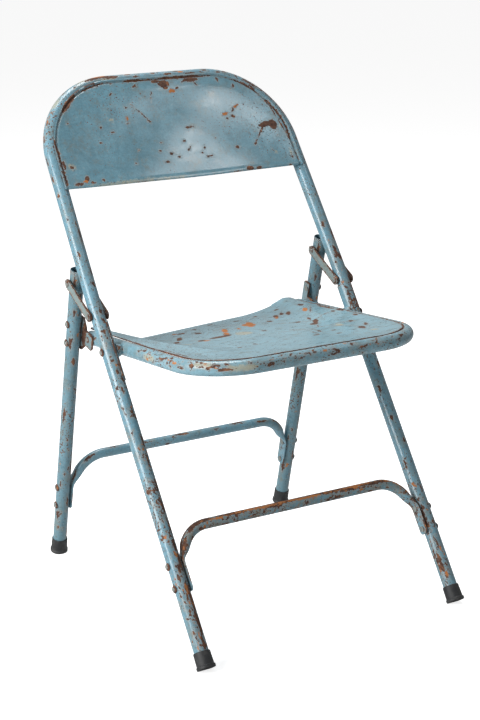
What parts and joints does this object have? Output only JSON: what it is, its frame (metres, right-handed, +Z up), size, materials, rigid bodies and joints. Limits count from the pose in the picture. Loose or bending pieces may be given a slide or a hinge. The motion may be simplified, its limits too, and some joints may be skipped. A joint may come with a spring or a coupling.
{
  "type": "folding chair",
  "caption": "Old folding steel chair with a bent tube frame, dished pan seat, sheet backrest and riveted braces, its pale blue paint peeling to rust.",
  "frame": {"origin": "on the floor, under the middle of the open chair's overall width and length", "axes": "+X to the right as seen by someone in front of the chair and facing it, +Y from the front of the chair to its back, +Z up"},
  "size_m": [0.4794, 0.5753, 0.7694],
  "materials": {
    "back_paint": "aged semi-gloss, peeling over rust",
    "bracket_paint": "aged semi-gloss, peeling over rust",
    "front_brace_paint": "aged semi-gloss, peeling over rust",
    "leg_paint": "aged semi-gloss, peeling over rust",
    "link_paint": "aged semi-gloss, peeling over rust",
    "pan_paint": "aged semi-gloss, peeling over rust",
    "panel_paint": "aged semi-gloss, peeling over rust",
    "rail_paint": "aged semi-gloss, peeling over rust",
    "rear_brace_paint": "aged semi-gloss, peeling over rust",
    "rivets": "paint worn to dull steel",
    "rubber": "matt, worn",
    "saddle_paint": "aged semi-gloss, peeling over rust"
  },
  "bodies": {
    "main_frame": {"back_frame": "back_paint", "back_panel": "panel_paint", "front_brace": "front_brace_paint", "hinge_saddle_left": "saddle_paint", "hinge_saddle_right": "saddle_paint", "seat_pivot_rivet_left": "rivets", "seat_pivot_rivet_right": "rivets", "link_lower_rivet_left": "rivets", "link_lower_rivet_right": "rivets", "front_brace_rivets": "rivets", "ferrule_front_left": "rubber", "ferrule_front_right": "rubber"},
    "seat": {"seat_frame": "rail_paint", "seat_pan": "pan_paint"},
    "rear_legs": {"rear_leg_left": "leg_paint", "rear_leg_right": "leg_paint", "rear_brace": "rear_brace_paint", "leg_bracket_left": "bracket_paint", "leg_bracket_right": "bracket_paint", "leg_pivot_rivet_left": "rivets", "leg_pivot_rivet_right": "rivets", "rear_brace_rivets": "rivets", "bracket_rivets": "rivets", "ferrule_rear_left": "rubber", "ferrule_rear_right": "rubber"},
    "links_left": {"outer_link_left": "link_paint", "inner_link_left": "link_paint", "link_upper_rivets_left": "rivets"},
    "links_right": {"outer_link_right": "link_paint", "inner_link_right": "link_paint", "link_upper_rivets_right": "rivets"}
  },
  "joints": [
    {"name": "seat_fold", "type": "hinge", "parent": "main_frame", "child": "seat", "pos_m": [0, 0.01285, 0.39937], "axis": [-1, 0, 0], "range_deg": [0, 115.8]},
    {"name": "rear_legs_fold", "type": "hinge", "parent": "seat", "child": "rear_legs", "pos_m": [0, 0.11951, 0.38862], "axis": [1, 0, 0], "range_deg": [0, 66.93]},
    {"name": "links_left_fold", "type": "hinge", "parent": "main_frame", "child": "links_left", "pos_m": [-0.223, 0.04757, 0.44663], "axis": [-1, 0, 0], "range_deg": [0, 132.84]},
    {"name": "links_right_fold", "type": "hinge", "parent": "main_frame", "child": "links_right", "pos_m": [0.223, 0.04757, 0.44663], "axis": [-1, 0, 0], "range_deg": [0, 132.84]}
  ],
  "couplings": [
    {"joint": "rear_legs_fold", "follows": "seat_fold", "ratio": 0.57786},
    {"joint": "links_left_fold", "follows": "seat_fold", "ratio": 1.147},
    {"joint": "links_right_fold", "follows": "seat_fold", "ratio": 1.147}
  ]
}
